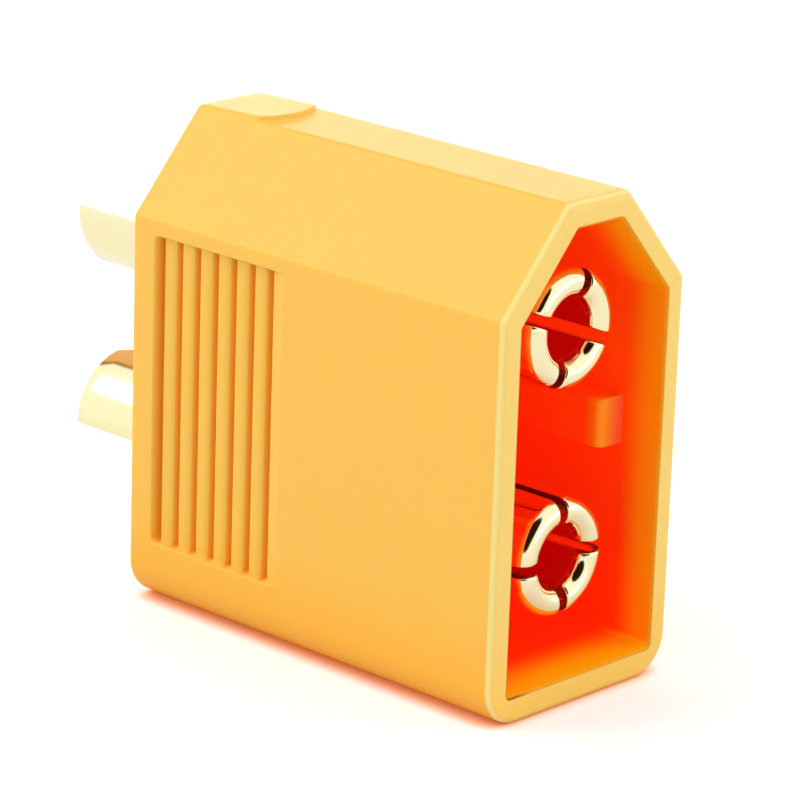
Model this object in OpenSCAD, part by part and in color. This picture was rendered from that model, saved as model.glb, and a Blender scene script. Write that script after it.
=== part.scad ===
// Two-pole battery connector, plug half: a moulded nylon housing with a keyed shroud, and two
// turned brass contacts, each a slotted hollow pin at the front and a solder cup at the back.
// The open rim faces +X, the chamfered narrow side is on top, and the part stands on its flat
// narrow side. The origin is the middle of that side.

/* [Housing] */
// Width of the housing, from its flat narrow side to its chamfered one
body_w = 15.8; // [15.4:0.1:17.5]
// Thickness of the housing
body_t = 8.1; // [7.8:0.1:9.5]
// Length of the housing, from its rear face to the open rim
body_l = 15.7; // [15.2:0.1:18]
// Width of the flat that the two chamfers leave on top
top_flat = 2.7; // [2.4:0.1:3.6]
// Height of the two chamfers
chamfer_h = 3.1; // [2.4:0.1:3.5]
// Radius of the two lower edges
base_r = 1.3; // [0.6:0.1:1.8]
// Bevel round the outer edge of the rim
rim_bevel = 0.25; // [0.1:0.05:0.4]

/* [Shroud] */
// Depth of the shroud, from the rim to its floor
shroud_depth = 8.6; // [7.6:0.1:9.2]
// Wall of the shroud at the sides, the chamfers and the top
shroud_wall = 0.8; // [0.6:0.05:1]
// Wall of the shroud at the flat narrow side
shroud_base_wall = 0.9; // [0.7:0.05:1.2]
// Radius of the shroud's two lower corners inside
shroud_r = 0.3; // [0.1:0.05:0.6]
// Width of the keying rib on each side wall
key_w = 1.55; // [1:0.05:2]
// How far each keying rib stands out of its wall
key_proud = 1.05; // [0.6:0.05:1.2]
// Distance from the rim to the front of the keying ribs
key_setback = 1.55; // [1:0.05:3]
// Radius of the keying ribs' front edge
key_r = 0.25; // [0.1:0.05:0.5]

/* [Grip panels] */
// Number of grooves in each panel
groove_count = 7; // [5:1:7]
// Distance from one groove to the next
groove_pitch = 0.8; // [0.7:0.02:0.9]
// Width of a groove at its mouth
groove_w = 0.32; // [0.24:0.02:0.5]
// Depth of a groove below the rib tops
groove_depth = 0.35; // [0.2:0.05:0.6]
// Taper of each groove wall, from mouth to floor
groove_taper = 0.04; // [0.02:0.01:0.08]
// Depth of the rib tops below the face of the housing
rib_drop = 0.2; // [0.1:0.05:0.4]
// Distance from the rear face to the first groove
grip_margin = 0.95; // [0.6:0.05:1.5]
// Length of the ramp that leads from the rib tops back up to the face
ramp_l = 0.55; // [0.3:0.05:0.8]
// Height of the panels' lower end above the flat side
grip_low = 2.1; // [1.9:0.1:4]
// Distance from the panels' upper end to the crease of the chamfer
grip_gap = 0.45; // [0.2:0.05:1]
// Radius of the panels' corners
grip_r = 0.3; // [0.1:0.05:0.5]

/* [Ramped pad on top] */
// Length of the pad at its middle, from the rear face
pad_l = 3.05; // [2.6:0.05:4]
// Width of the pad
pad_w = 2.4; // [1.8:0.1:2.4]
// Height of the pad at its front, where it ends in a step
pad_h = 0.12; // [0.08:0.01:0.3]
// Height of the pad at the rear face
pad_rear_h = 0.03; // [0.02:0.01:0.08]
// Radius of the pad's curved front
pad_nose_r = 2.2; // [1.3:0.1:4]

/* [Contact pins] */
// Distance between the two pins
pin_pitch = 7.2; // [6.9:0.1:7.4]
// Distance from the rim back to the pin tips
pin_setback = 0.78; // [0.4:0.01:2]
// Diameter of a pin
pin_d = 3.6; // [3.3:0.05:3.7]
// Diameter of the sprung band behind the tip
band_d = 3.8; // [3.7:0.05:4]
// Length of the straight part of the band
band_l = 1.6; // [1:0.1:2.5]
// Length of the taper from the band down to the pin
band_taper_l = 1.2; // [0.6:0.1:2]
// Diameter of the bore in a pin
pin_bore_d = 1.95; // [1.6:0.05:2.4]
// Depth of the bore in a pin
pin_bore_l = 6.6; // [6.2:0.1:7.5]
// Width of the two crossed slots
slot_w = 0.35; // [0.2:0.05:0.5]
// Length of the slots
slot_l = 5.8; // [4:0.1:6.1]

/* [Solder cups] */
// Outside diameter of a cup
cup_d = 4.3; // [4.1:0.05:4.7]
// Diameter of the bore in a cup
cup_bore_d = 3.4; // [3:0.05:3.6]
// Length of a cup behind the housing
cup_l = 4.6; // [4.2:0.1:7]
// Depth of the bore in a cup
cup_bore_l = 6; // [5.2:0.1:7]
// Length of the scoop that opens a cup
scoop_l = 3.7; // [3:0.1:4]
// Depth of the scoop below the cup's axis
scoop_below = 0.55; // [0:0.05:0.8]
// Radius at the inner end of the scoop
scoop_r = 1.2; // [0.5:0.1:2]
// Angle of a drilled bore's pointed end
drill_angle = 118; // [90:1:140]

/* [How the contacts are turned] */
// Turn of the upper cup's opening, from straight up
negative_cup_turn = -20; // [-60:1:60]
// Turn of the upper pin's slots
negative_slot_turn = -20; // [-45:1:45]
// Turn of the lower cup's opening, from straight up
positive_cup_turn = 195; // [120:1:240]
// Turn of the lower pin's slots
positive_slot_turn = 3; // [-45:1:45]

/* [Seat of the contacts] */
// Depth of the shoulder that stops a contact, from the rear face
shoulder_depth = 5; // [4:0.1:5.6]
// Distance from the rear face to the barb
barb_depth = 2; // [1:0.1:2.6]
// Length of the barb
barb_l = 0.9; // [0.5:0.1:1.2]
// How far the barb stands out of the cup's shank
barb_h = 0.2; // [0.1:0.05:0.3]
// Clearance of a contact in its hole
seat_gap = 0.02; // [0.01:0.01:0.05]

/* [Hidden] */
$fn = 64;
over = 0.5;

rim_x = body_l / 2;
rear_x = -body_l / 2;
floor_x = rim_x - shroud_depth;

// the chamfers
chamfer_w = (body_t - top_flat) / 2;
chamfer_angle = atan2(chamfer_h, chamfer_w);
crease_z = body_w - chamfer_h;

// the pins and the keying ribs are centred in the shroud
mid_z = (shroud_base_wall + body_w - shroud_wall) / 2;
negative_z = mid_z + pin_pitch / 2;
positive_z = mid_z - pin_pitch / 2;

// places along the contacts
tip_x = rim_x - pin_setback;
band_x = tip_x - (band_d - pin_bore_d) / 4 - band_l;
cup_end_x = rear_x - cup_l;
shoulder_x = rear_x + shoulder_depth;
barb_x = rear_x + barb_depth;

// the grip panels
grip_x = rear_x + grip_margin;
grip_l = (groove_count - 1) * groove_pitch + groove_w;
grip_top = crease_z - grip_gap;

plastic = [1, 0.69, 0.24];
gold = [0.93, 0.76, 0.4];

// stands a flat outline, drawn as across and up, on end and draws it out along X
module along_x(x, length) {
    translate([x, 0, 0]) rotate([90, 0, 90]) linear_extrude(length) children();
}

// turns a half outline, drawn as radius and place along X, about an axis at height z
module about_x(z) {
    translate([0, 0, z]) rotate([0, 90, 0]) rotate_extrude() children();
}

// the house-shaped outline, moved in by one distance at the sides and another at the base
module outline(inset, base_inset, r) {
    half = body_t / 2 - inset;
    side_top = crease_z - inset * tan((90 - chamfer_angle) / 2);
    flat_half = top_flat / 2 - inset * tan(chamfer_angle / 2);
    polygon([
        [-half, base_inset + r], [-half + r, base_inset], [half - r, base_inset],
        [half, base_inset + r], [half, side_top], [flat_half, body_w - inset],
        [-flat_half, body_w - inset], [-half, side_top]
    ]);
    for (side = [-1, 1]) translate([side * (half - r), base_inset + r]) circle(r);
}

// cuts a bevel off the rim along one straight edge, whose outward side faces the given angle
module rim_cut(y, z, angle, length) {
    translate([rim_x, y, z]) rotate([angle, 0, 0]) rotate(a = 180, v = [1, 1, 0])
        linear_extrude(length, center = true)
            polygon([[-rim_bevel - over, over], [over, -rim_bevel - over], [over, over]]);
}

// cuts the same bevel round one of the two rounded lower edges
module rim_corner_cut(side) {
    translate([rim_x, side * (body_t / 2 - base_r), base_r]) intersection() {
        rotate([0, 90, 0]) rotate_extrude() polygon([
            [base_r - rim_bevel - over / 2, over / 2], [base_r + over, -rim_bevel - over],
            [base_r + over, over / 2]
        ]);
        translate([-2 * over, side > 0 ? 0 : -base_r - over, -base_r - over])
            cube([4 * over, base_r + over, base_r + over]);
    }
}

module rim_cuts() {
    edge_y = body_t / 2;
    chamfer_length = norm([chamfer_w, chamfer_h]);
    rim_cut(0, 0, -90, body_t - 2 * base_r);
    rim_cut(0, body_w, 90, top_flat + over);
    for (side = [-1, 1]) {
        flat_side = side > 0 ? 0 : 180;
        slanted_side = side > 0 ? 90 - chamfer_angle : 90 + chamfer_angle;
        rim_cut(side * edge_y, (base_r + crease_z) / 2, flat_side, crease_z - base_r);
        rim_cut(side * (edge_y + top_flat / 2) / 2, body_w - chamfer_h / 2, slanted_side,
            chamfer_length + over);
        rim_corner_cut(side);
    }
}

// a keying rib on one side wall, with a rounded front edge
module key_rib(side) {
    wall_y = body_t / 2 - shroud_wall;
    front_x = rim_x - key_setback;
    mirror([0, side > 0 ? 0 : 1, 0])
        translate([0, 0, mid_z - key_w / 2]) linear_extrude(key_w) {
            translate([floor_x - over, wall_y - key_proud])
                square([front_x - key_r - floor_x + over, key_proud + shroud_wall / 2]);
            translate([floor_x - over, wall_y - key_proud + key_r])
                square([front_x - floor_x + over, key_proud - key_r + shroud_wall / 2]);
            translate([front_x - key_r, wall_y - key_proud + key_r]) circle(key_r);
        }
}

// the recess of one grip panel, drawn as length and height, with rounded corners at the rear
module grip_outline(length) {
    height = grip_top - grip_low;
    translate([grip_r, 0]) square([length - grip_r, height]);
    translate([0, grip_r]) square([grip_r, height - 2 * grip_r]);
    for (z = [grip_r, height - grip_r]) translate([grip_r, z]) circle(grip_r);
}

// takes one grip panel out of the +Y face: a shallow recess, its ramp and the grooves
module grip_panel() {
    face_y = body_t / 2;
    rib_y = face_y - rib_drop;
    translate([grip_x, face_y + over, grip_low]) rotate([90, 0, 0])
        linear_extrude(rib_drop + over) grip_outline(grip_l);
    translate([grip_x + grip_l, 0, grip_low]) linear_extrude(grip_top - grip_low)
        polygon([[-over, rib_y], [0, rib_y], [ramp_l, face_y], [ramp_l, face_y + over],
            [-over, face_y + over]]);
    intersection() {
        for (i = [0 : groove_count - 1])
            translate([grip_x + groove_w / 2 + i * groove_pitch, rib_y, grip_low])
                linear_extrude(grip_top - grip_low) polygon([
                    [-groove_w / 2, over / 2], [-groove_w / 2, 0],
                    [groove_taper - groove_w / 2, -groove_depth],
                    [groove_w / 2 - groove_taper, -groove_depth],
                    [groove_w / 2, 0], [groove_w / 2, over / 2]
                ]);
        translate([grip_x, face_y, grip_low]) rotate([90, 0, 0])
            linear_extrude(rib_drop + groove_depth + over) grip_outline(grip_l + over);
    }
}

// the low pad on the top flat: it rises from the rear face to a curved step at its front
module ramped_pad() {
    intersection() {
        translate([rear_x, 0, body_w - over]) linear_extrude(pad_h + 2 * over) intersection() {
            translate([0, -pad_w / 2]) square([pad_l, pad_w]);
            translate([pad_l - pad_nose_r, 0]) union() {
                circle(pad_nose_r);
                translate([-pad_l, -pad_w / 2]) square([pad_l, pad_w]);
            }
        }
        translate([rear_x, 0, body_w]) rotate([90, 0, 0]) linear_extrude(2 * pad_w, center = true)
            polygon([[0, -over], [pad_l, -over], [pad_l, pad_h], [0, pad_rear_h]]);
    }
}

// the stepped hole that a contact is pressed into from behind, barb recess included
module contact_hole(z) {
    hole_r = cup_d / 2 + seat_gap;
    front_r = pin_d / 2 + seat_gap;
    about_x(z) polygon([
        [0, rear_x - over], [hole_r, rear_x - over], [hole_r, barb_x - seat_gap],
        [hole_r + barb_h, barb_x - seat_gap], [hole_r + barb_h, barb_x],
        [hole_r, barb_x + barb_l], [hole_r, shoulder_x], [front_r, shoulder_x],
        [front_r, floor_x + over], [0, floor_x + over]
    ]);
}

module housing() {
    color(plastic) {
        difference() {
            union() {
                along_x(rear_x, body_l) outline(0, 0, base_r);
                ramped_pad();
            }
            along_x(floor_x, shroud_depth + over)
                outline(shroud_wall, shroud_base_wall, shroud_r);
            rim_cuts();
            for (side = [0, 1]) mirror([0, side, 0]) grip_panel();
            contact_hole(negative_z);
            contact_hole(positive_z);
        }
        for (side = [-1, 1]) key_rib(side);
    }
}

// one contact as it comes off the lathe: cup, shank, barb, shoulder, pin, band and rounded lip
module turned_blank() {
    cup_r = cup_d / 2;
    pin_r = pin_d / 2;
    band_r = band_d / 2;
    lip_r = (band_r - pin_bore_d / 2) / 2;
    about_x(0) {
        polygon([
            [0, cup_end_x], [cup_r, cup_end_x], [cup_r, barb_x], [cup_r + barb_h, barb_x],
            [cup_r, barb_x + barb_l], [cup_r, shoulder_x], [pin_r, shoulder_x],
            [pin_r, band_x - band_taper_l], [band_r, band_x], [band_r, tip_x - lip_r],
            [0, tip_x - lip_r]
        ]);
        translate([band_r - lip_r, tip_x - lip_r]) circle(lip_r);
    }
}

// a drilled bore with a pointed end, from a mouth at x towards +X or -X
module drilled(x, d, length, way) {
    point_l = d / 2 / tan(drill_angle / 2);
    about_x(0) polygon([
        [0, x - way * over], [d / 2, x - way * over], [d / 2, x + way * (length - point_l)],
        [0, x + way * length]
    ]);
}

// opens the cup upwards down to a flat just under its axis
module scoop() {
    flat_l = scoop_l - scoop_r;
    reach = cup_d;
    translate([cup_end_x, 0, -scoop_below]) rotate([90, 0, 0])
        linear_extrude(2 * reach, center = true) {
            translate([-over, 0]) square([flat_l + over, reach]);
            translate([-over, scoop_r]) square([scoop_l + over, reach - scoop_r]);
            translate([flat_l, scoop_r]) circle(scoop_r);
        }
}

module slots() {
    for (turn = [0, 90]) rotate([turn, 0, 0])
        translate([tip_x - slot_l, -slot_w / 2, -band_d])
            cube([slot_l + over, slot_w, 2 * band_d]);
}

// a whole contact at height z, its cup and its slots each turned about its axis
module contact(z, cup_turn, slot_turn) {
    color(gold) translate([0, 0, z]) difference() {
        turned_blank();
        drilled(tip_x, pin_bore_d, pin_bore_l, -1);
        drilled(cup_end_x, cup_bore_d, cup_bore_l, 1);
        rotate([cup_turn, 0, 0]) scoop();
        rotate([slot_turn, 0, 0]) slots();
    }
}

module negative_contact() {
    contact(negative_z, negative_cup_turn, negative_slot_turn);
}

module positive_contact() {
    contact(positive_z, positive_cup_turn, positive_slot_turn);
}

housing();
negative_contact();
positive_contact();
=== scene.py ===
# Two-pole battery connector, plug half: moulded nylon housing and two turned, gold-plated contacts.
# Works in millimetres and scales to metres when a mesh is made. +X points out of the open rim.
import math

import bmesh
import bpy
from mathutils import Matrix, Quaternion, Vector


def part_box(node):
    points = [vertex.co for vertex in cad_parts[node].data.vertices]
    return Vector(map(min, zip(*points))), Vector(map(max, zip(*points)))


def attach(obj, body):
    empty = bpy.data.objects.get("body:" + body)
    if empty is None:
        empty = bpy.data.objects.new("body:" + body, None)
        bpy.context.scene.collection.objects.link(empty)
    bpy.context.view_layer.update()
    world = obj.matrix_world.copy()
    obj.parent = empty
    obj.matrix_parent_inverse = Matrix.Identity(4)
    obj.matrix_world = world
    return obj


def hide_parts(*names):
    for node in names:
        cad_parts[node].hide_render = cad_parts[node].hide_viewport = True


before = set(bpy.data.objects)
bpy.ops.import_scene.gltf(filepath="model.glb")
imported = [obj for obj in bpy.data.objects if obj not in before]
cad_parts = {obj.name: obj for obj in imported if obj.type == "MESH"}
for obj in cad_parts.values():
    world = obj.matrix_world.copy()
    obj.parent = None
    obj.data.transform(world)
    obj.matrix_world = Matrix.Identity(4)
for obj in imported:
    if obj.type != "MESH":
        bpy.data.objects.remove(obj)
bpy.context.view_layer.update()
mm = 0.001

housingBox = [[value / mm for value in corner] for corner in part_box("housing")]
rearX, rimX = housingBox[0][0], housingBox[1][0]
halfThickness = housingBox[1][1]

# what a user would change on the housing
housing = {
    "padHeight": 0.12,       # pad on the top flat, at the step in front
    "padRear": 0.03,         # and at the rear face, from which it ramps up
    "padLength": 3.05,
    "padWidth": 2.4,
    "padSoft": 0.26,         # width over which its sides run out
    "padNoseRadius": 2.2,
    "padStep": 0.06,         # length of the step at its nose
    "padBowNear": 0.3,       # rings this close to the nose bow with it
    "padBowFade": 1.5,       # and the next ones straighten out over this length
    "topFlat": 2.7,
    "chamferHeight": 3.1,
    "baseRadius": 1.3,
    "creaseRadius": 0.22,    # the soft edges along the chamfers
    "rearRadius": 0.12,
    "rimRadius": 0.25,       # outer edge of the rim
    "mouthRadius": 0.1,      # inner edge of the rim
    "mouthShade": 0.12,      # how deep the painted red shade of the shroud is where that edge ends, from 0 to 1
    "wall": 0.8,
    "baseWall": 0.9,
    "shroudDepth": 8.6,
    "shroudRadius": 0.15,
    "shroudCrease": 0.12,    # the creases inside the chamfers
    "floorFillet": 0.2,
    "glowDepth": 3.0,        # how far in from the rim the painted deep red light and shade of the shroud builds up
}
keyRib = {
    "width": 1.55, "proud": 1.05, "setback": 1.55, "radius": 0.25, "edge": 0.1,
    "endShade": 0.42, "endFade": 1.2,    # painted light on its end: as pale as the mouth, and the painted shade deepens over this length
}
grip = {
    "count": 7, "pitch": 0.8, "grooveWidth": 0.32, "grooveDepth": 0.35, "drop": 0.2,
    "margin": 0.95, "ramp": 0.55, "low": 2.1, "gap": 0.45, "radius": 0.3, "soft": 0.09,
}
width = housingBox[1][2] - housing["padHeight"]
floorX = rimX - housing["shroudDepth"]
creaseZ = width - housing["chamferHeight"]
chamferAngle = math.atan2(housing["chamferHeight"], halfThickness - housing["topFlat"] / 2)
midZ = (housing["baseWall"] + width - housing["wall"]) / 2
gripX = rearX + grip["margin"]
gripTop = creaseZ - grip["gap"]
gripLength = (grip["count"] - 1) * grip["pitch"] + grip["grooveWidth"]
sharpAngle = math.radians(40)    # edges that turn more than this stay sharp


def newMesh(name, points, faces):
    # points in millimetres; the faces are turned outwards
    mesh = bpy.data.meshes.new(name)
    mesh.from_pydata([Vector(p) * mm for p in points], [], faces)
    bm = bmesh.new()
    bm.from_mesh(mesh)
    bmesh.ops.remove_doubles(bm, verts=bm.verts, dist=0.0005 * mm)
    bmesh.ops.recalc_face_normals(bm, faces=bm.faces)
    bm.to_mesh(mesh)
    bm.free()
    mesh.shade_smooth()
    mesh.set_sharp_from_angle(angle=sharpAngle)
    return mesh


def newObject(name, mesh):
    piece = bpy.data.objects.new(name, mesh)
    bpy.context.scene.collection.objects.link(piece)
    return piece


def freeze(piece):
    # turns the modifiers into plain mesh
    graph = bpy.context.evaluated_depsgraph_get()
    mesh = bpy.data.meshes.new_from_object(piece.evaluated_get(graph), depsgraph=graph)
    piece.modifiers.clear()
    piece.data = mesh


def softStep(value):
    value = min(max(value, 0.0), 1.0)
    return value * value * (3 - 2 * value)


def quarter(steps):
    return [math.radians(90) * k / steps for k in range(steps + 1)]


# Housing: rings of the house-shaped outline, from the rear face over the rim and down to the floor

def roundCorner(before, corner, after, radius, steps):
    a, b = (Vector(before) - Vector(corner)).normalized(), (Vector(after) - Vector(corner)).normalized()
    half = a.angle(b) / 2
    centre = Vector(corner) + (a + b).normalized() * radius / math.sin(half)
    start = Vector(corner) + a * radius / math.tan(half) - centre
    sweep = start.angle_signed(Vector(corner) + b * radius / math.tan(half) - centre)
    turn = [-sweep * k / steps for k in range(steps + 1)]
    return [(centre.x + start.x * math.cos(t) - start.y * math.sin(t),
             centre.y + start.x * math.sin(t) + start.y * math.cos(t)) for t in turn]


def ribLevels():
    # heights across a keying rib, close together where its edges turn
    half = keyRib["width"] / 2
    steps = (half + 0.02, half, half - 0.006, half - 0.02, half - 0.05, half - 0.1, half - 0.2)
    return [midZ - s for s in steps] + [midZ] + [midZ + s for s in reversed(steps)]


def sideLevels():
    # heights of the points up each side wall: the ends of the grip panel and the keying rib
    soft = grip["soft"]
    ends = [k * soft / 4 for k in range(-1, 6)] + [soft * 2, soft * 3]
    levels = [grip["low"] + e for e in ends] + ribLevels() + [gripTop - e for e in reversed(ends)]
    levels += [4, 5.5, 10, 11]    # a few more up the plain wall
    return sorted(levels)


def padLines():
    # places across the top, between its two creases
    half = housing["padWidth"] / 2
    lines = [half + 0.03, half - 0.05] + [half * k / 6 for k in (5, 4, 3, 2, 1)]
    return lines + [0] + [-y for y in reversed(lines)]


def outlineRing(x, inset, baseInset, baseRadius, creaseRadius):
    half = halfThickness - inset
    side = creaseZ - inset * math.tan((math.pi / 2 - chamferAngle) / 2)
    flat = housing["topFlat"] / 2 - inset * math.tan(chamferAngle / 2)
    top = width - inset
    corners = [(-half, baseInset), (half, baseInset), (half, side), (flat, top), (-flat, top), (-half, side)]
    # the pad's lines are drawn in where the creases leave them less room
    room = flat - creaseRadius * math.tan(chamferAngle / 2)
    scale = min(1.0, (room - 0.01) / padLines()[0])
    # points along the far side, the top and the near side
    between = {
        1: [(half, z) for z in sideLevels()],
        3: [(y * scale, top) for y in padLines()],
        5: [(-half, z) for z in reversed(sideLevels())],
    }
    ring = []
    for i, corner in enumerate(corners):
        radius, steps = (baseRadius, 12) if i < 2 else (creaseRadius, 4)
        ring += roundCorner(corners[i - 1], corner, corners[(i + 1) % 6], radius, steps)
        ring += between.get(i, [])
    return [(x, y, z) for y, z in ring]


def keyRibRise(x, z):
    # how far the side wall of the shroud steps in at a keying rib
    across = keyRib["width"] / 2 - abs(z - midZ)
    along = rimX - keyRib["setback"] - x
    radius, edge = keyRib["radius"], keyRib["edge"]
    if across <= 0.001 or along <= 0.001:
        return 0.0
    bite = radius - math.sqrt(radius ** 2 - max(radius - along, 0.0) ** 2)
    lip = edge - math.sqrt(edge ** 2 - max(edge - across, 0.0) ** 2)
    return keyRib["proud"] - bite - lip


def padRise(x, y):
    # its sides run out into the creases, and only its nose is a step
    side = 1 - softStep((abs(y) - housing["padWidth"] / 2) / housing["padSoft"])
    front = softStep((rearX + housing["padLength"] - x) / housing["padStep"])
    along = (x - rearX) / housing["padLength"]
    height = housing["padRear"] + (housing["padHeight"] - housing["padRear"]) * along
    return height * side * front


def bodyStations():
    # places along the outside, close together at the grooves, the ramp and the front of the pad
    groove, soft = grip["grooveWidth"], grip["soft"]
    shape = [0, soft * 0.25, soft * 0.5, soft * 0.75, soft, groove / 2]
    shape += [groove - soft * k / 4 for k in (4, 3, 2, 1, 0)] + [groove + 0.02, (groove + grip["pitch"]) / 2]
    places = [gripX + i * grip["pitch"] + s for i in range(grip["count"]) for s in shape]
    rampX = gripX + gripLength
    places += [gripX - 0.05, rampX + 0.03, rampX + grip["ramp"] / 2, rampX + grip["ramp"],
               rampX + grip["ramp"] + 0.05]
    places += [rearX + housing["padLength"] - e for e in (-0.04, 0, 0.025, 0.055, 0.085, 0.13)]
    places += [rearX + 0.4, 1.5, 4, 6.5, rimX - housing["rimRadius"] - 0.1]    # a few more on the plain part
    return sorted({round(p, 4) for p in places})


def housingMesh():
    h = housing
    wall, baseWall = h["wall"], h["baseWall"]
    # depth holds each ring's level of the shroud's painted red light and shade, from 0 to 1
    rings, depth = [], []

    def addRing(x, inset, baseInset, baseRadius, creaseRadius, inside=0.0):
        rings.append(outlineRing(x, inset, baseInset, baseRadius, creaseRadius))
        depth.append(inside)

    def outer(x, inset):
        addRing(x, inset, inset, h["baseRadius"] - inset, max(h["creaseRadius"] - inset * 0.5, 0.05))

    for a in reversed(quarter(4)):
        outer(rearX + h["rearRadius"] * (1 - math.sin(a)), h["rearRadius"] * (1 - math.cos(a)))
    for x in bodyStations():
        outer(x, 0)
    lastBody = len(rings)
    for a in quarter(7):
        outer(rimX - h["rimRadius"] * (1 - math.sin(a)), h["rimRadius"] * (1 - math.cos(a)))
    mouth, crease = h["mouthRadius"], h["shroudCrease"]
    for a in quarter(4):
        step = mouth * (1 - math.sin(a))
        inside = h["mouthShade"] * math.sin(a)
        addRing(rimX - mouth * (1 - math.cos(a)), wall - step, baseWall - step, h["shroudRadius"] + step,
                crease + step, inside)
    firstShroud = len(rings)
    ribFront = rimX - keyRib["setback"]
    places = [rimX - 0.3, rimX - 0.7, rimX - 1.1, ribFront + 0.02, ribFront]
    places += [ribFront - e for e in (0.006, 0.03, 0.07, 0.12, 0.18, 0.25, 0.5, 1, 1.8, 2.8, 4, 5.4, 6.4)]
    for x in places:
        inside = h["mouthShade"] + (1 - h["mouthShade"]) * softStep((rimX - x) / h["glowDepth"])
        addRing(x, wall, baseWall, h["shroudRadius"], crease, inside)
    fillet = h["floorFillet"]
    for a in quarter(4):
        step = fillet * (1 - math.cos(a))
        addRing(floorX + fillet * (1 - math.sin(a)), wall + step, baseWall + step,
                h["shroudRadius"], crease, 1.0)

    points, levels = [], []
    for n, ring in enumerate(rings):
        for x, y, z in ring:
            if n < lastBody and z > width - 0.15:
                # raises the pad, and bows the rings near its nose to the shape of the nose
                bow = h["padNoseRadius"] - math.sqrt(h["padNoseRadius"] ** 2 - y * y)
                away = abs(x - rearX - h["padLength"])
                near = 1 - softStep((away - h["padBowNear"]) / h["padBowFade"])
                z += padRise(x, y)
                x -= bow * near
            inside = depth[n]
            if firstShroud <= n and abs(y) > halfThickness - wall - 0.3 and abs(z - midZ) < 2:
                rise = keyRibRise(x, z)
                y -= math.copysign(rise, y)
                # painted light on the end of a keying rib: less of the painted deep shade there
                if rise > 0:
                    fade = softStep((ribFront - x - keyRib["edge"]) / keyRib["endFade"])
                    inside *= keyRib["endShade"] + (1 - keyRib["endShade"]) * fade
            points.append((x, y, z))
            levels.append(inside)
    size = len(rings[0])
    faces = [tuple(reversed(range(size)))]
    for n in range(len(rings) - 1):
        a, b = n * size, (n + 1) * size
        faces += [(a + i, a + (i + 1) % size, b + (i + 1) % size, b + i) for i in range(size)]
    faces.append(tuple(range((len(rings) - 1) * size, len(rings) * size)))
    mesh = bpy.data.meshes.new("housing")
    mesh.from_pydata([Vector(p) * mm for p in points], [], faces)
    attribute = mesh.attributes.new("shroudDepth", "FLOAT", "POINT")
    attribute.data.foreach_set("value", levels)
    bm = bmesh.new()
    bm.from_mesh(mesh)
    bmesh.ops.recalc_face_normals(bm, faces=bm.faces)
    bm.to_mesh(mesh)
    bm.free()
    mesh.shade_smooth()
    return mesh


# Small helpers for node trees

def link(tree, source, target):
    tree.links.new(source, target)


def feed(tree, socket, value):
    # a number or a colour is set on the socket, and anything else is linked to it
    if isinstance(value, tuple):
        socket.default_value = (*value, 1.0)
    elif isinstance(value, (int, float)):
        socket.default_value = value
    else:
        link(tree, value, socket)


def mathNode(tree, operation, first, second=0.0):
    node = tree.nodes.new("ShaderNodeMath")
    node.operation = operation
    feed(tree, node.inputs[0], first)
    feed(tree, node.inputs[1], second)
    return node.outputs[0]


def smoothNode(tree, value, low, high, start=0.0, end=1.0):
    node = tree.nodes.new("ShaderNodeMapRange")
    node.interpolation_type = "SMOOTHSTEP"
    given = {"Value": value, "From Min": low, "From Max": high, "To Min": start, "To Max": end}
    for name, number in given.items():
        feed(tree, node.inputs[name], number)
    return node.outputs[0]


def treeInput(tree, name, kind="NodeSocketFloat", default=None):
    socket = tree.interface.new_socket(name, in_out="INPUT", socket_type=kind)
    if default is not None:
        socket.default_value = default
    return socket.identifier


def addTree(piece, tree, values):
    # adds a Geometry Nodes modifier and fills its inputs by identifier
    modifier = piece.modifiers.new(tree.name, "NODES")
    modifier.node_group = tree
    for identifier, value in values.items():
        modifier[identifier] = value
    return modifier


def closeTree(tree, geometry, material):
    # every tree ends in Realize Instances and Set Material
    real = tree.nodes.new("GeometryNodeRealizeInstances")
    link(tree, geometry, real.inputs[0])
    paint = tree.nodes.new("GeometryNodeSetMaterial")
    link(tree, real.outputs[0], paint.inputs["Geometry"])
    link(tree, material, paint.inputs["Material"])
    link(tree, paint.outputs[0], tree.nodes.new("NodeGroupOutput").inputs[0])


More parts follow.
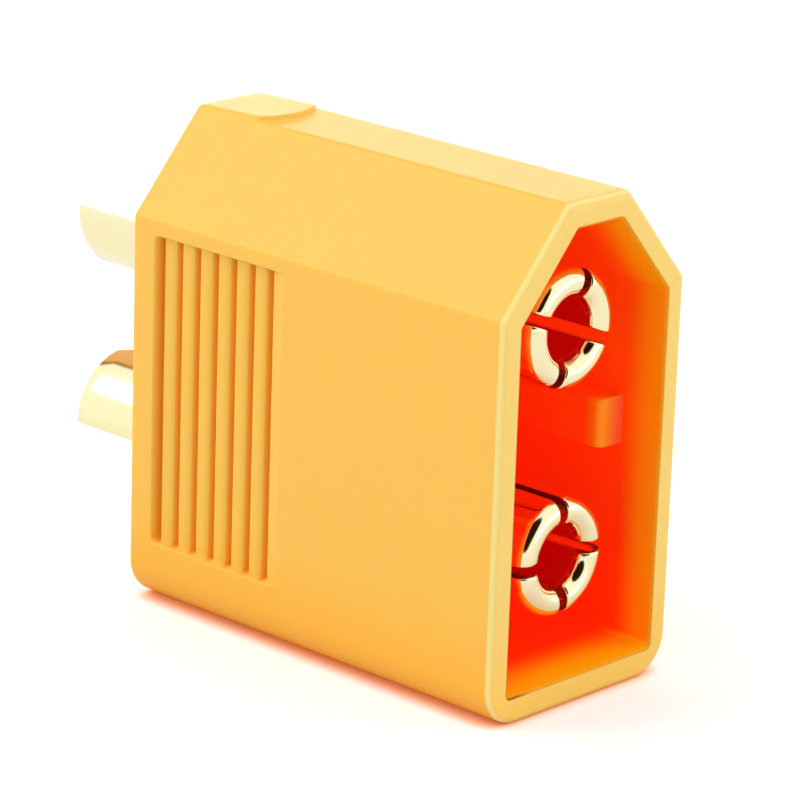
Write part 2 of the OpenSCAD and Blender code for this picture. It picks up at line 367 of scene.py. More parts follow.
def gripTree():
    # presses a ribbed grip panel into the two flat sides: one shallow recess, grooves and a ramp
    tree = bpy.data.node_groups.new("gripRibs", "GeometryNodeTree")
    names = ("Side", "Start", "Pitch", "Count", "Groove Width", "Groove Depth", "Drop", "Ramp", "Low", "High",
             "Corner", "Soft")
    ids = {"Geometry": treeInput(tree, "Geometry", "NodeSocketGeometry")}
    for name in names:
        ids[name] = treeInput(tree, name)
    ids["Material"] = treeInput(tree, "Material", "NodeSocketMaterial")
    tree.interface.new_socket("Geometry", in_out="OUTPUT", socket_type="NodeSocketGeometry")
    given = tree.nodes.new("NodeGroupInput").outputs
    position = tree.nodes.new("GeometryNodeInputPosition")
    split = tree.nodes.new("ShaderNodeSeparateXYZ")
    link(tree, position.outputs[0], split.inputs[0])
    x, y, z = split.outputs

    def op(kind, first, second=0.0):
        return mathNode(tree, kind, first, second)

    along = op("SUBTRACT", x, given["Start"])
    spread = op("MULTIPLY", op("SUBTRACT", given["Count"], 1.0), given["Pitch"])
    length = op("ADD", spread, given["Groove Width"])
    # one groove in each pitch: soft walls on both sides
    step = op("MODULO", along, given["Pitch"])
    up = smoothNode(tree, step, 0.0, given["Soft"])
    down = smoothNode(tree, op("SUBTRACT", given["Groove Width"], step), 0.0, given["Soft"])
    inRow = op("MULTIPLY", op("GREATER_THAN", along, 0.0), op("LESS_THAN", along, length))
    groove = op("MULTIPLY", op("MULTIPLY", op("MULTIPLY", up, down), inRow), given["Groove Depth"])
    # the shallow recess that the ribs stand in, and the ramp back up to the face
    rampTop = op("ADD", length, given["Ramp"])
    rampLevel = tree.nodes.new("ShaderNodeMapRange")
    for name, value in (("Value", along), ("From Min", length), ("From Max", rampTop)):
        link(tree, value, rampLevel.inputs[name])
    rampLevel.inputs["To Min"].default_value = 1.0
    rampLevel.inputs["To Max"].default_value = 0.0
    rear = smoothNode(tree, along, op("MULTIPLY", given["Soft"], -0.02), op("MULTIPLY", given["Soft"], 0.6))
    recess = op("MULTIPLY", op("MULTIPLY", rampLevel.outputs[0], rear), given["Drop"])
    # the ends of the panel, with rounded corners at the rear
    cornerX = op("MAXIMUM", op("SUBTRACT", given["Corner"], along), 0.0)
    lowZ = op("SUBTRACT", op("ADD", given["Low"], given["Corner"]), z)
    highZ = op("SUBTRACT", z, op("SUBTRACT", given["High"], given["Corner"]))
    cornerZ = op("MAXIMUM", op("MAXIMUM", lowZ, highZ), 0.0)
    reach = op("SQRT", op("ADD", op("MULTIPLY", cornerX, cornerX), op("MULTIPLY", cornerZ, cornerZ)))
    inside = smoothNode(tree, op("SUBTRACT", given["Corner"], reach), 0.0, given["Soft"])
    depth = op("MULTIPLY", op("ADD", groove, recess), inside)
    onSide = op("GREATER_THAN", op("ABSOLUTE", y), given["Side"])
    # the grooves' depth goes to the nylon as painted shade in the grooves
    shade = op("MULTIPLY", op("DIVIDE", groove, given["Groove Depth"]), inside)
    store = tree.nodes.new("GeometryNodeStoreNamedAttribute")
    store.inputs["Name"].default_value = "grooveShade"
    link(tree, given["Geometry"], store.inputs["Geometry"])
    link(tree, op("MULTIPLY", shade, onSide), store.inputs["Value"])
    offset = tree.nodes.new("ShaderNodeCombineXYZ")
    link(tree, op("MULTIPLY", depth, op("MULTIPLY", op("SIGN", y), -1.0)), offset.inputs[1])
    move = tree.nodes.new("GeometryNodeSetPosition")
    link(tree, store.outputs[0], move.inputs["Geometry"])
    link(tree, onSide, move.inputs["Selection"])
    link(tree, offset.outputs[0], move.inputs["Offset"])
    closeTree(tree, move.outputs[0], given["Material"])
    return tree, ids


def spun(profile, columns):
    # a closed solid turned about the X axis from (x, radius) points that start and end on the axis
    points, faces, rows = [], [], []
    for x, r in profile:
        if r < 1e-6:
            rows.append([len(points)] * columns)
            points.append((x, 0, 0))
            continue
        rows.append(list(range(len(points), len(points) + columns)))
        points += [(x, r * math.cos(t), r * math.sin(t)) for t in
                   (2 * math.pi * k / columns for k in range(columns))]
    for a, b in zip(rows, rows[1:]):
        for i in range(columns):
            j = (i + 1) % columns
            corners = dict.fromkeys((a[i], a[j], b[j], b[i]))
            if len(corners) > 2:
                faces.append(tuple(corners))
    return points, faces


# Contacts: one turned piece, a slotted hollow pin in front and a scooped solder cup behind

contact = {
    "pinPitch": 7.2, "pinSetback": 0.78, "pinDiameter": 3.6, "bandDiameter": 3.8, "bandLength": 1.6,
    "bandTaper": 1.2, "boreDiameter": 1.95, "boreLength": 6.6, "slotWidth": 0.35, "slotLength": 5.8,
    "slotEdge": 0.08,        # rounding along the edges of the tines
    "cupDiameter": 4.3, "cupBore": 3.4, "cupLength": 4.6, "cupBoreLength": 6.0, "scoopLength": 3.7,
    "scoopBelow": 0.55, "scoopRadius": 1.2, "shoulderDepth": 5.0, "barbDepth": 2.0, "barbLength": 0.9,
    "barbHeight": 0.2, "gap": 0.02, "bevel": 0.035,
}
turns = {   # turn of each cup's opening and of each pin's slots, in degrees
    "negativeContact": {"cup": -20, "slots": -20, "side": 1},
    "positiveContact": {"cup": 195, "slots": 3, "side": -1},
}
tipX = rimX - contact["pinSetback"]
bandRadius, pinRadius, boreRadius = (contact[k] / 2 for k in ("bandDiameter", "pinDiameter", "boreDiameter"))
lipRadius = (bandRadius - boreRadius) / 2
slotEndX = tipX - contact["slotLength"]
wholeX = slotEndX - 0.12    # the pin is whole from here on back
bandX = tipX - lipRadius - contact["bandLength"]


def tineProfile():
    # (x, radius, outward x, outward radius) from the slot's end up the bore, over the lip and back
    rows = []
    front = tipX - lipRadius
    for k in range(6):
        rows.append((slotEndX + (front - 0.4 - slotEndX) * k / 5, boreRadius, 0, -1))
    rows += [(front - away, boreRadius, 0, -1) for away in (0.22, 0.1)]
    for k in range(19):
        a = math.pi * k / 18
        rows.append((front + lipRadius * math.sin(a), (boreRadius + bandRadius) / 2 - lipRadius * math.cos(a),
                     math.sin(a), -math.cos(a)))
    for k in range(1, 4):
        rows.append((front - (front - bandX) * k / 3, bandRadius, 0, 1))
    for k in range(1, 5):
        t = softStep(k / 4)
        rows.append((bandX - contact["bandTaper"] * k / 4, bandRadius + (pinRadius - bandRadius) * t, 0, 1))
    rows.append((slotEndX + 0.6, pinRadius, 0, 1))
    rows.append((slotEndX, pinRadius, 0, 1))
    return rows


def tineColumns(radius):
    # angles across one tine and how far each column is pulled in by the rounded slot edges
    edge, half = contact["slotEdge"], contact["slotWidth"] / 2
    rounded = [(edge * (1 - math.cos(a)), edge * (1 - math.sin(a))) for a in quarter(4)]
    left = [(math.asin((half + s) / radius), pull) for s, pull in rounded]
    right = [(math.pi / 2 - a, pull) for a, pull in reversed(left)]
    start, end = left[-1][0], right[0][0]
    middle = [(start + (end - start) * k / 12, 0.0) for k in range(1, 12)]
    return left + middle + right


def tineMesh():
    rows = []
    for x, r, outX, outR in tineProfile():
        rows.append([(x - outX * pull, (r - outR * pull) * math.cos(a), (r - outR * pull) * math.sin(a))
                     for a, pull in tineColumns(r)])
    count = len(rows[0])
    points = [p for row in rows for p in row]
    faces = [(n * count + i, n * count + i + 1, (n + 1) * count + i + 1, (n + 1) * count + i)
             for n in range(len(rows) - 1) for i in range(count - 1)]
    faces.append(tuple(n * count for n in range(len(rows))))
    faces.append(tuple(n * count + count - 1 for n in reversed(range(len(rows)))))
    return points, faces, rows


def repeatTree():
    # copies one tine round the axis, joins the copies and gives them their metal
    tree = bpy.data.node_groups.new("tineRing", "GeometryNodeTree")
    ids = {"Geometry": treeInput(tree, "Geometry", "NodeSocketGeometry")}
    ids["Count"] = treeInput(tree, "Count", "NodeSocketInt", 4)
    ids["Turn"] = treeInput(tree, "Turn", "NodeSocketFloat", 0.0)
    ids["Material"] = treeInput(tree, "Material", "NodeSocketMaterial")
    tree.interface.new_socket("Geometry", in_out="OUTPUT", socket_type="NodeSocketGeometry")
    given = tree.nodes.new("NodeGroupInput").outputs
    places = tree.nodes.new("GeometryNodeMeshLine")
    link(tree, given["Count"], places.inputs["Count"])
    places.inputs["Offset"].default_value = (0, 0, 0)
    index = tree.nodes.new("GeometryNodeInputIndex").outputs[0]
    step = mathNode(tree, "DIVIDE", 2 * math.pi, given["Count"])
    turn = mathNode(tree, "ADD", mathNode(tree, "MULTIPLY", index, step), given["Turn"])
    rotation = tree.nodes.new("ShaderNodeCombineXYZ")
    link(tree, turn, rotation.inputs[0])
    copies = tree.nodes.new("GeometryNodeInstanceOnPoints")
    link(tree, places.outputs[0], copies.inputs["Points"])
    link(tree, given["Geometry"], copies.inputs["Instance"])
    link(tree, rotation.outputs[0], copies.inputs["Rotation"])
    closeTree(tree, copies.outputs[0], given["Material"])
    return tree, ids


def cupHeight(along):
    # height of the scoop's cut above the axis, at a distance from the cup's open end
    flat = contact["scoopLength"] - contact["scoopRadius"]
    rise = max(along - flat, 0.0)
    radius = contact["scoopRadius"]
    return -contact["scoopBelow"] + radius - math.sqrt(max(radius ** 2 - rise ** 2, 0.0))


def cupRing(x, radius, height, lower, upper):
    # a ring of the cup: lower columns below the cut, and upper ones over the top where it is whole
    limit = math.acos(-height / radius)
    below = [-limit + 2 * limit * k / (lower - 1) for k in range(lower)]
    points = [(x, radius * math.sin(a), -radius * math.cos(a)) for a in below]
    if upper:
        over = [limit + 2 * (math.pi - limit) * k / (upper + 1) for k in range(1, upper + 1)]
        points += [(x, radius * math.sin(a), -radius * math.cos(a)) for a in over]
    return points


def shankMesh(slotTurn, cupTurn, tineRows):
    # everything behind the slots: the root of the pin, shoulder, shank, barb and the scooped cup
    cupRadius, cupBore = contact["cupDiameter"] / 2, contact["cupBore"] / 2
    cupEnd = rearX - contact["cupLength"]
    scoopX = cupEnd + contact["scoopLength"]
    turn = math.radians(cupTurn)
    points, faces = [], []

    def add(ring, angle=0.0):
        first = len(points)
        c, s = math.cos(angle), math.sin(angle)
        points.extend((x, y * c - z * s, y * s + z * c) for x, y, z in ring)
        return list(range(first, len(points)))

    def bridge(a, b, closed=True):
        count = len(a)
        for i in range(count if closed else count - 1):
            j = (i + 1) % count
            faces.append((a[i], a[j], b[j], b[i]))

    def allTines(row):
        # a row of points across one tine, repeated for all four
        ring = []
        for q in range(4):
            c, s = math.cos(math.pi / 2 * q), math.sin(math.pi / 2 * q)
            ring += [(x, y * c - z * s, y * s + z * c) for x, y, z in row]
        return ring

    def wholeRing(x, radius):
        # a whole ring at the same angles as the tines
        return allTines([(x, radius * math.cos(a), radius * math.sin(a)) for a, _ in tineColumns(radius)])

    perTine = len(tineRows[0])
    slotAngle = math.radians(slotTurn)
    inner = add(allTines(tineRows[0]), slotAngle)
    outer = add(allTines(tineRows[-1]), slotAngle)
    for q in range(4):
        a, b = q * perTine + perTine - 1, (q + 1) % 4 * perTine
        faces.append((inner[a], inner[b], outer[b], outer[a]))
    boreEnd = tipX - contact["boreLength"]
    back = inner
    for x in (wholeX, boreEnd + 0.6):
        ring = add(wholeRing(x, boreRadius), slotAngle)
        bridge(back, ring)
        back = ring
    pole = add([(boreEnd, 0, 0)])[0]
    for i in range(len(back)):
        faces.append((back[i], back[(i + 1) % len(back)], pole))
    shoulderX = rearX + contact["shoulderDepth"]
    front = outer
    for x in (wholeX, shoulderX + 1.0, shoulderX):
        ring = add(wholeRing(x, pinRadius), slotAngle)
        bridge(front, ring)
        front = ring
    ring = add(wholeRing(shoulderX, cupRadius), slotAngle)
    bridge(front, ring)
    # from here on the columns follow the cup
    total = 4 * perTine
    topHeight = cupHeight(contact["scoopLength"])
    lower = total * 6 // 10
    upper = total - lower
    barbX = rearX + contact["barbDepth"]
    cupRings = [(shoulderX - 0.6, cupRadius), (barbX + contact["barbLength"], cupRadius),
                (barbX, cupRadius + contact["barbHeight"]), (barbX, cupRadius), (scoopX + 0.1, cupRadius),
                (scoopX, cupRadius)]
    previous = ring
    for n, (x, radius) in enumerate(cupRings):
        ring = add(cupRing(x, radius, topHeight * radius / cupRadius, lower, upper), turn)
        if n == 0:
            # starts the new ring at the column nearest to the old ring's first one
            first = Vector(points[previous[0]])
            near = min(range(total), key=lambda k: (Vector(points[ring[k]]).yz - first.yz).length)
            ring = ring[near:] + ring[:near]
            # and turns it round if it runs the other way
            new, old = (Vector(points[r[total // 4]]).yz for r in (ring, previous))
            if (new - old).length > cupRadius:
                ring = [ring[0]] + ring[:0:-1]
            bridge(previous, ring)
            ring = sorted(ring)
        else:
            bridge(previous, ring)
        previous = ring
    outerWhole = previous
    # the bore of the cup, from its drilled point back out
    boreDepth = cupEnd + contact["cupBoreLength"]
    point = add([(boreDepth, 0, 0)])[0]
    ring = add(cupRing(boreDepth - 1.0, cupBore, topHeight, lower, upper), turn)
    for i in range(total):
        faces.append((ring[i], ring[(i + 1) % total], point))
    innerWhole = add(cupRing(scoopX, cupBore, topHeight, lower, upper), turn)
    bridge(ring, innerWhole)
    # the upright wall where the scoop stops
    for i in range(lower - 1, total):
        j = (i + 1) % total
        faces.append((outerWhole[i], outerWhole[j], innerWhole[j], innerWhole[i]))
    # the open trough
    steps = [contact["scoopLength"] - contact["scoopRadius"] * (1 - math.cos(a)) for a in quarter(8)]
    flat = contact["scoopLength"] - contact["scoopRadius"]
    steps += [flat * k / 5 for k in (4, 3, 2, 1, 0)]
    outerRow, innerRow = outerWhole[:lower], innerWhole[:lower]
    for along in steps[1:]:
        height = cupHeight(along)
        outerNext = add(cupRing(cupEnd + along, cupRadius, height, lower, 0), turn)
        innerNext = add(cupRing(cupEnd + along, cupBore, height, lower, 0), turn)
        bridge(outerRow, outerNext, False)
        bridge(innerRow, innerNext, False)
        faces.append((outerRow[0], outerNext[0], innerNext[0], innerRow[0]))
        faces.append((outerRow[-1], outerNext[-1], innerNext[-1], innerRow[-1]))
        outerRow, innerRow = outerNext, innerNext
    bridge(outerRow, innerRow, False)
    return points, faces


def markInside(mesh, centreZ, slotTurn):
    # tells the metal where a point is: 1 in the bore, -1 on the walls of the slots, for the painted red light
    # and shade there
    attribute = mesh.attributes.new("insideShade", "FLOAT", "POINT")
    turn = math.radians(slotTurn)
    spill = 0.12     # the shade of the bore spills this far onto the lip
    levels = []
    for vertex in mesh.vertices:
        x, y, z = vertex.co / mm
        along = abs(y * math.cos(turn) + (z - centreZ) * math.sin(turn))
        across = abs((z - centreZ) * math.cos(turn) - y * math.sin(turn))
        away = math.hypot(along, across)
        level = 0.0
        if x > tipX - contact["boreLength"] - spill and away < boreRadius + spill:
            level = softStep((tipX - lipRadius + spill - x) / 0.2)
        onWall = min(along, across) < contact["slotWidth"] / 2 + 0.004
        if x > slotEndX - 0.2 and away > boreRadius * 0.5 and onWall:
            level = -1.0
        levels.append(level)
    attribute.data.foreach_set("value", levels)


def buildContact(name, node, metal):
    turn = turns[name]
    centreZ = midZ + turn["side"] * contact["pinPitch"] / 2
    tinePoints, tineFaces, rows = tineMesh()
    mesh = bpy.data.meshes.new("tine")
    mesh.from_pydata([Vector(p) * mm for p in tinePoints], [], tineFaces)
    tine = newObject("tine", mesh)
    tree, ids = repeatTree()
    addTree(tine, tree, {ids["Count"]: 4, ids["Turn"]: math.radians(turn["slots"]), ids["Material"]: metal})
    freeze(tine)
    shank, shankFaces = shankMesh(turn["slots"], turn["cup"], rows)
    joined = [tuple(v.co / mm) for v in tine.data.vertices]
    faces = [tuple(p.vertices) for p in tine.data.polygons]
    faces += [tuple(i + len(joined) for i in face) for face in shankFaces]
    bpy.data.objects.remove(tine)
    points = [(x, y, z + centreZ) for x, y, z in joined + shank]
    piece = newObject(name, newMesh(name, points, faces))
    bevel = piece.modifiers.new("edges", "BEVEL")
    bevel.limit_method = "ANGLE"
    bevel.angle_limit = math.radians(50)
    bevel.width = contact["bevel"] * mm
    bevel.segments = 2
    freeze(piece)
    piece.data.shade_smooth()
    piece.data.set_sharp_from_angle(angle=sharpAngle)
    piece.data.materials.clear()
    piece.data.materials.append(metal)
    markInside(piece.data, centreZ, turn["slots"])
    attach(piece, "root")
    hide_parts(node)
    return piece


# Materials

def principled(name):
    material = bpy.data.materials.new(name)
    material.use_nodes = True
    tree = material.node_tree
    place = tree.nodes.new("ShaderNodeTexCoord").outputs["Object"]
    return material, tree, tree.nodes["Principled BSDF"], place


def attributeNode(tree, name):
    node = tree.nodes.new("ShaderNodeAttribute")
    node.attribute_name = name
    return node.outputs["Fac"]


def noiseNode(tree, vector, scale, detail=2.0, roughness=0.5, stretch=None):
    noise = tree.nodes.new("ShaderNodeTexNoise")
    noise.inputs["Scale"].default_value = scale
    noise.inputs["Detail"].default_value = detail
    noise.inputs["Roughness"].default_value = roughness
    if stretch:
        mapping = tree.nodes.new("ShaderNodeMapping")
        mapping.inputs["Scale"].default_value = stretch
        link(tree, vector, mapping.inputs["Vector"])
        vector = mapping.outputs[0]
    link(tree, vector, noise.inputs["Vector"])
    return noise.outputs["Fac"]


def bumpNode(tree, height, strength, distance):
    bump = tree.nodes.new("ShaderNodeBump")
    bump.inputs["Strength"].default_value = strength
    bump.inputs["Distance"].default_value = distance
    link(tree, height, bump.inputs["Height"])
    return bump.outputs[0]


def mixColour(tree, factor, first, second):
    mix = tree.nodes.new("ShaderNodeMix")
    mix.data_type = "RGBA"
    link(tree, factor, mix.inputs["Factor"])
    feed(tree, mix.inputs[6], first)
    feed(tree, mix.inputs[7], second)
    return mix.outputs[2]


def nylonMaterial():
    look = {
        "face": (0.98, 0.57, 0.094), "faceWarm": (0.98, 0.55, 0.082), "cloudScale": 180,
        # painted shade in the grooves
        "groove": (0.92, 0.38, 0.0),
        # painted highlight on the rim's flat face and rounded edge, warmer low down
        "rim": (0.99, 0.68, 0.18), "rimLow": (1.0, 0.64, 0.12), "rimEdgeHighlight": (1.0, 0.80, 0.30),
        # painted warm bounce light from the paper, low on the outside
        "foot": (1.0, 0.47, 0.03), "footTop": 4,
        "edge": (0.80, 0.34, 0.0), "nearEdgeShade": (0.30, 0.08, 0.0),    # painted shade along the rim's inner edge, darker on the near wall
        "mouth": (1.0, 0.37, 0.0), "mouthLow": (1.0, 0.60, 0.0),
        "deep": (0.98, 0.12, 0.0), "low": (0.96, 0.04, 0.0),         # painted red inner light and shade far in, at the top and at the bottom
        "glow": (1.0, 0.03, 0.0),    # painted glow, standing for light that comes through the walls
        "mouthGlow": 0.1, "deepGlow": 0.13, "footGlow": 0.04,
        "roughness": 0.42, "specular": 0.28, "grainScale": 9000, "grainStrength": 0.12,
        "throughLight": 0.35, "throughRadius": (1.0, 0.35, 0.08), "throughScale": 0.8,
    }
    material, tree, shader, place = principled("nylon")
    face = mixColour(tree, noiseNode(tree, place, look["cloudScale"]), look["face"], look["faceWarm"])
    depth = attributeNode(tree, "shroudDepth")
    split = tree.nodes.new("ShaderNodeSeparateXYZ")
    link(tree, place, split.inputs[0])
    x, y, z = split.outputs
    # painted red inner light and shade: inside the shroud the colour deepens, more slowly on the floor and on
    # the chamfers
    deep = mixColour(tree, smoothNode(tree, z, 2 * mm, 14 * mm), look["low"], look["deep"])
    inner = mixColour(tree, smoothNode(tree, depth, 0.1, 0.6), look["mouth"], deep)
    slowInner = mixColour(tree, smoothNode(tree, depth, 0.1, 0.9), look["mouthLow"], deep)
    floorEnd = housing["baseWall"] + housing["shroudRadius"]
    onFloor = smoothNode(tree, z, (floorEnd + 0.1) * mm, (floorEnd - 0.1) * mm)
    onChamfer = smoothNode(tree, z, 12.1 * mm, 12.7 * mm, 0.0, 0.45)
    inner = mixColour(tree, mathNode(tree, "ADD", onFloor, onChamfer), inner, slowInner)
    # painted light: a warm painted bounce from the paper on the foot, and a painted highlight on the rounded
    # edge and flat face of the rim
    foot = smoothNode(tree, z, look["footTop"] * mm, 0.2 * mm)
    outer = mixColour(tree, mathNode(tree, "MULTIPLY", foot, 0.85), face, look["foot"])
    rounded = smoothNode(tree, x, (rimX - 0.24) * mm, (rimX - 0.16) * mm)
    outer = mixColour(tree, rounded, outer, look["rimEdgeHighlight"])
    flat = smoothNode(tree, x, (rimX - 0.1) * mm, (rimX - 0.02) * mm)
    outer = mixColour(tree, flat, outer, mixColour(tree, foot, look["rim"], look["rimLow"]))
    # painted shade along the rim's inner edge, darker on the near wall
    edge = mixColour(tree, smoothNode(tree, y, -2.0 * mm, -3.0 * mm), look["edge"], look["nearEdgeShade"])
    outer = mixColour(tree, smoothNode(tree, depth, 0.01, 0.04), outer, edge)
    colour = mixColour(tree, smoothNode(tree, depth, 0.08, 0.13), outer, inner)
    # painted shade in the grooves
    colour = mixColour(tree, attributeNode(tree, "grooveShade"), colour, look["groove"])
    link(tree, colour, shader.inputs["Base Color"])
    grain = noiseNode(tree, place, look["grainScale"], 3, 0.6)
    rough = smoothNode(tree, grain, 0.3, 0.7, look["roughness"] - 0.05, look["roughness"] + 0.06)
    link(tree, rough, shader.inputs["Roughness"])
    link(tree, bumpNode(tree, grain, look["grainStrength"], 0.01 * mm), shader.inputs["Normal"])
    shader.inputs["Specular IOR Level"].default_value = look["specular"]
    shader.inputs["Emission Color"].default_value = (*look["glow"], 1.0)
    # painted glow inside the shroud and on the foot
    mouthGlow = smoothNode(tree, depth, 0.08, 0.16, 0.0, look["mouthGlow"])
    deepGlow = smoothNode(tree, depth, 0.2, 0.7, 0.0, look["deepGlow"])
    footGlow = mathNode(tree, "MULTIPLY", foot, look["footGlow"])
    glow = mathNode(tree, "ADD", mathNode(tree, "ADD", mouthGlow, deepGlow), footGlow)
    link(tree, glow, shader.inputs["Emission Strength"])
    shader.inputs["Subsurface Weight"].default_value = look["throughLight"]
    shader.inputs["Subsurface Radius"].default_value = look["throughRadius"]
    shader.inputs["Subsurface Scale"].default_value = look["throughScale"] * mm
    return material


def goldMaterial():
    look = {
        "pale": (0.99, 0.92, 0.63), "warm": (0.98, 0.88, 0.47), "patchScale": 700,
        "roughness": 0.09, "latheStretch": (26000, 500, 500),    # fine rings left by the lathe
        # painted red light and shade in the bore and on the slot walls, with a painted glow, for the shroud's
        # red light that gets in through the slots
        "bore": (0.60, 0.03, 0.02), "slotWall": (0.25, 0.03, 0.02), "insideRoughness": 0.5,
        "insideGlow": (1.0, 0.0, 0.0), "boreGlow": 0.2, "slotGlow": 0.035,
    }
    material, tree, shader, place = principled("goldPlate")
    shader.inputs["Metallic"].default_value = 1.0
    plate = mixColour(tree, noiseNode(tree, place, look["patchScale"]), look["pale"], look["warm"])
    level = attributeNode(tree, "insideShade")
    # painted red light and shade in the bore and on the slot walls, and a painted red glow there
    slotted = smoothNode(tree, mathNode(tree, "MULTIPLY", level, -1.0), 0.3, 0.9)
    bored = smoothNode(tree, level, 0.2, 0.9)
    walls = mixColour(tree, slotted, plate, look["slotWall"])
    link(tree, mixColour(tree, bored, walls, look["bore"]), shader.inputs["Base Color"])
    shader.inputs["Emission Color"].default_value = (*look["insideGlow"], 1.0)
    glow = mathNode(tree, "ADD", mathNode(tree, "MULTIPLY", bored, look["boreGlow"]),
                    mathNode(tree, "MULTIPLY", slotted, look["slotGlow"]))
    link(tree, glow, shader.inputs["Emission Strength"])
    lathe = noiseNode(tree, place, 1.0, stretch=look["latheStretch"])
    polish = smoothNode(tree, lathe, 0.2, 0.8, look["roughness"] - 0.03, look["roughness"] + 0.06)
    rough = mathNode(tree, "MULTIPLY", mathNode(tree, "MAXIMUM", bored, slotted), look["insideRoughness"])
    link(tree, mathNode(tree, "MAXIMUM", polish, rough), shader.inputs["Roughness"])
    link(tree, bumpNode(tree, lathe, 0.06, 0.004 * mm), shader.inputs["Normal"])
    return material


# Build

def holeCutter(side):
    # the hole that one contact sits in, from the rear face to the floor of the shroud
    z = midZ + side * contact["pinPitch"] / 2
    outer, inner = contact["cupDiameter"] / 2 + contact["gap"], contact["pinDiameter"] / 2 + contact["gap"]
    shoulder = rearX + contact["shoulderDepth"]
    points, faces = spun([(rearX - 1, 0), (rearX - 1, outer), (shoulder, outer), (shoulder, inner),
                          (floorX + 0.1, inner), (floorX + 0.1, 0)], 96)
    return newObject("hole", newMesh("hole", [(x, y, h + z) for x, y, h in points], faces))


def markHoles(mesh):
    # the cut gives its new points no depth, so the holes behind the shroud's floor get theirs here: the full
    # painted deep shade
    depths = mesh.attributes["shroudDepth"].data
    for n, point in enumerate(mesh.vertices):
        x, y, z = point.co / mm
        behindFloor = rearX + contact["shoulderDepth"] - 0.1 < x < floorX + 0.01
        if behindFloor and abs(y) < halfThickness - 1 and 1 < z < width - 1:
            depths[n].value = 1.0


def buildHousing(plastic):
    body = newObject("housingShell", housingMesh())
    tree, ids = gripTree()
    lengths = {
        "Side": halfThickness - 0.01, "Start": gripX, "Pitch": grip["pitch"], "Ramp": grip["ramp"],
        "Groove Width": grip["grooveWidth"], "Groove Depth": grip["grooveDepth"], "Drop": grip["drop"],
        "Low": grip["low"], "High": gripTop, "Corner": grip["radius"], "Soft": grip["soft"],
    }
    values = {ids[name]: length * mm for name, length in lengths.items()}
    addTree(body, tree, {**values, ids["Count"]: float(grip["count"]), ids["Material"]: plastic})
    cutters = [holeCutter(side) for side in (1, -1)]
    for cutter in cutters:
        cut = body.modifiers.new("hole", "BOOLEAN")
        cut.solver = "EXACT"
        cut.object = cutter
    even = body.modifiers.new("normals", "WEIGHTED_NORMAL")
    even.weight = 60
    freeze(body)
    for cutter in cutters:
        bpy.data.objects.remove(cutter)
    markHoles(body.data)
    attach(body, "root")
    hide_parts("housing")
    print("housing:", len(body.data.polygons), "faces")


nylon = nylonMaterial()
gold = goldMaterial()
buildHousing(nylon)
for name, node in (("negativeContact", "negative_contact"), ("positiveContact", "positive_contact")):
    piece = buildContact(name, node, gold)
    print(name + ":", len(piece.data.polygons), "faces")


# Floor, light and camera

studio = {
    "floorSize": 1200, "floorColour": (0.76, 0.76, 0.76),
    "floorLift": (0.44, 0.40, 0.375), "liftInMetal": 0.3,    # takes the paper up to white
    "contactReach": 0.7,     # how far out the painted warm contact shadow under the part reaches
    "contactShadowColour": (0.80, 0.38, 0.17), "contactShadowLift": (0.27, 0.09, 0.03),
    "world": 0.87, "worldInMetal": 1.05,    # the white tent, and how bright metal sees it
    "opening": {"azimuth": 48, "elevation": 38, "radius": 29},
    "openingColour": (0.014, 0.002, 0.001),
    "board": {"azimuth": 229.3, "elevation": 31.1, "radius": 27},
    "boardColour": (0.80, 0.44, 0.20), "boardEdge": (0.42, 0.20, 0.05),
}
lamps = {
    "key": {"place": (-200, -190, 255), "size": (240, 240), "power": 0.42},
    "back": {"place": (-215, 235, 50), "size": (140, 36), "power": 0.15},
    "side": {"place": (270, 190, 50), "size": (300, 90), "power": 0.18},
}
lampAim = (0, 0, 8)


def buildFloor():
    half = studio["floorSize"] / 2
    corners = [(-half, -half, 0), (half, -half, 0), (half, half, 0), (-half, half, 0)]
    floor = newObject("floor", newMesh("floor", corners, [(0, 1, 2, 3)]))
    material, tree, shader, _ = principled("paper")
    shader.inputs["Roughness"].default_value = 0.8
    shader.inputs["Specular IOR Level"].default_value = 0.1
    # close under the part, a painted warm contact shadow on the paper, standing for shade and for light that
    # comes through the nylon
    near = tree.nodes.new("ShaderNodeAmbientOcclusion")
    near.inputs["Distance"].default_value = studio["contactReach"] * mm
    clear = smoothNode(tree, near.outputs["AO"], 0.1, 0.9)
    paper = mixColour(tree, clear, studio["contactShadowColour"], studio["floorColour"])
    link(tree, paper, shader.inputs["Base Color"])
    # seen by the camera and in metal the paper goes up to white, and keeps the shadow
    lift = tree.nodes.new("ShaderNodeEmission")
    link(tree, mixColour(tree, clear, studio["contactShadowLift"], studio["floorLift"]), lift.inputs["Color"])
    add = tree.nodes.new("ShaderNodeAddShader")
    link(tree, shader.outputs[0], add.inputs[0])
    link(tree, lift.outputs[0], add.inputs[1])
    pick = tree.nodes.new("ShaderNodeMixShader")
    path = tree.nodes.new("ShaderNodeLightPath").outputs
    mirrored = mathNode(tree, "MULTIPLY", path["Is Glossy Ray"], studio["liftInMetal"])
    link(tree, mathNode(tree, "MAXIMUM", path["Is Camera Ray"], mirrored), pick.inputs[0])
    link(tree, shader.outputs[0], pick.inputs[1])
    link(tree, add.outputs[0], pick.inputs[2])
    link(tree, pick.outputs[0], tree.nodes["Material Output"].inputs["Surface"])
    floor.data.materials.append(material)


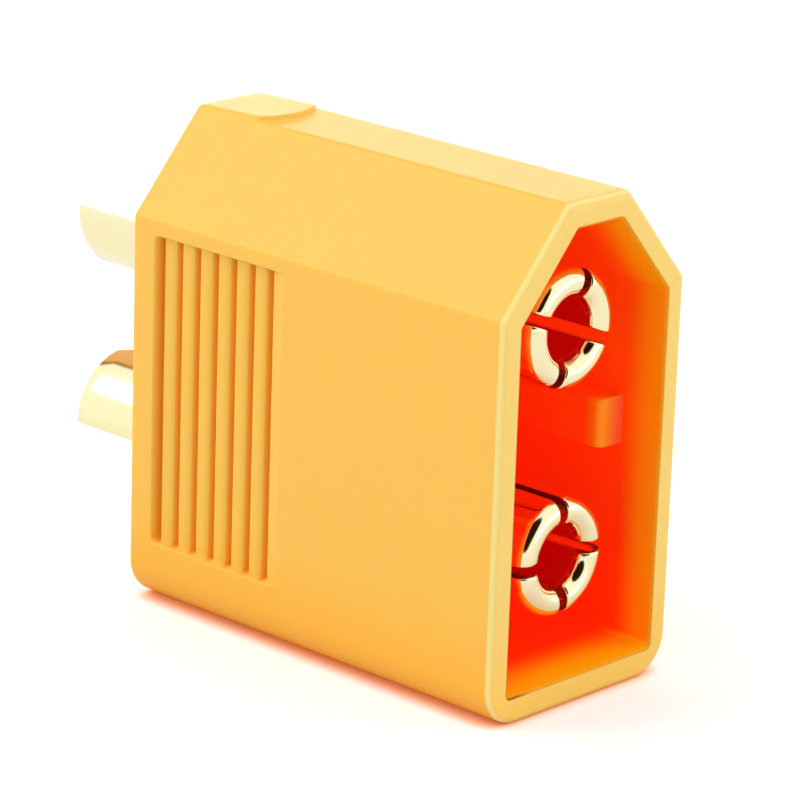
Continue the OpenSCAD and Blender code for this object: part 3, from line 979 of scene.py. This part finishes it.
def buildWorld():
    # an even white tent; polished metal also sees its dark opening and a warm board behind it
    world = bpy.data.worlds.new("studio")
    world.use_nodes = True
    tree = world.node_tree
    background = tree.nodes["Background"]
    path = tree.nodes.new("ShaderNodeLightPath").outputs
    sky = tree.nodes.new("ShaderNodeTexCoord").outputs["Generated"]

    def patch(spot, grow=1.0):
        # 1 inside a round patch of the sky, seen in reflections only
        a, e = math.radians(spot["azimuth"]), math.radians(spot["elevation"])
        towards = tree.nodes.new("ShaderNodeVectorMath")
        towards.operation = "DOT_PRODUCT"
        link(tree, sky, towards.inputs[0])
        towards.inputs[1].default_value = (math.sin(a) * math.cos(e), -math.cos(a) * math.cos(e), math.sin(e))
        radius = math.radians(spot["radius"]) * grow
        inside = smoothNode(tree, towards.outputs["Value"], math.cos(radius * 1.12), math.cos(radius))
        return mathNode(tree, "MULTIPLY", inside, path["Is Glossy Ray"])

    board = mixColour(tree, patch(studio["board"]), (1.0, 1.0, 1.0), studio["boardEdge"])
    board = mixColour(tree, patch(studio["board"], 0.8), board, studio["boardColour"])
    colour = mixColour(tree, patch(studio["opening"]), board, studio["openingColour"])
    seen = mathNode(tree, "MULTIPLY", path["Is Camera Ray"], 1.0 - studio["world"])
    mirrored = mathNode(tree, "MULTIPLY", path["Is Glossy Ray"], studio["worldInMetal"] - studio["world"])
    level = mathNode(tree, "ADD", mathNode(tree, "ADD", seen, mirrored), studio["world"])
    link(tree, colour, background.inputs["Color"])
    link(tree, level, background.inputs["Strength"])
    bpy.context.scene.world = world


def buildLamps():
    for name, lamp in lamps.items():
        light = bpy.data.lights.new(name, "AREA")
        light.shape = "RECTANGLE"
        light.size, light.size_y = lamp["size"][0] * mm, lamp["size"][1] * mm
        light.energy = lamp["power"]
        piece = newObject(name, light)
        place = Vector(lamp["place"])
        piece.location = place * mm
        piece.rotation_euler = (Vector(lampAim) - place).to_track_quat("-Z", "Y").to_euler()


def buildCamera():
    view = {"azimuth": 43.09, "elevation": 17.59, "roll": 1.956, "distance": 129.48, "lens": 187.63,
            "aim": (0.0097, 0.0104, 7.68)}
    a, e = math.radians(view["azimuth"]), math.radians(view["elevation"])
    back = Vector((math.sin(a) * math.cos(e), -math.cos(a) * math.cos(e), math.sin(e)))
    camera = newObject("camera", bpy.data.cameras.new("camera"))
    camera.location = (Vector(view["aim"]) + back * view["distance"]) * mm
    turn = (-back).to_track_quat("-Z", "Y") @ Quaternion((0, 0, 1), math.radians(view["roll"]))
    camera.rotation_euler = turn.to_euler()
    camera.data.lens = view["lens"]
    camera.data.sensor_width = 36
    camera.data.clip_start = 1 * mm
    bpy.context.scene.camera = camera


buildFloor()
buildWorld()
buildLamps()
buildCamera()
bpy.context.scene.view_settings.view_transform = "Standard"
print("studio ready")
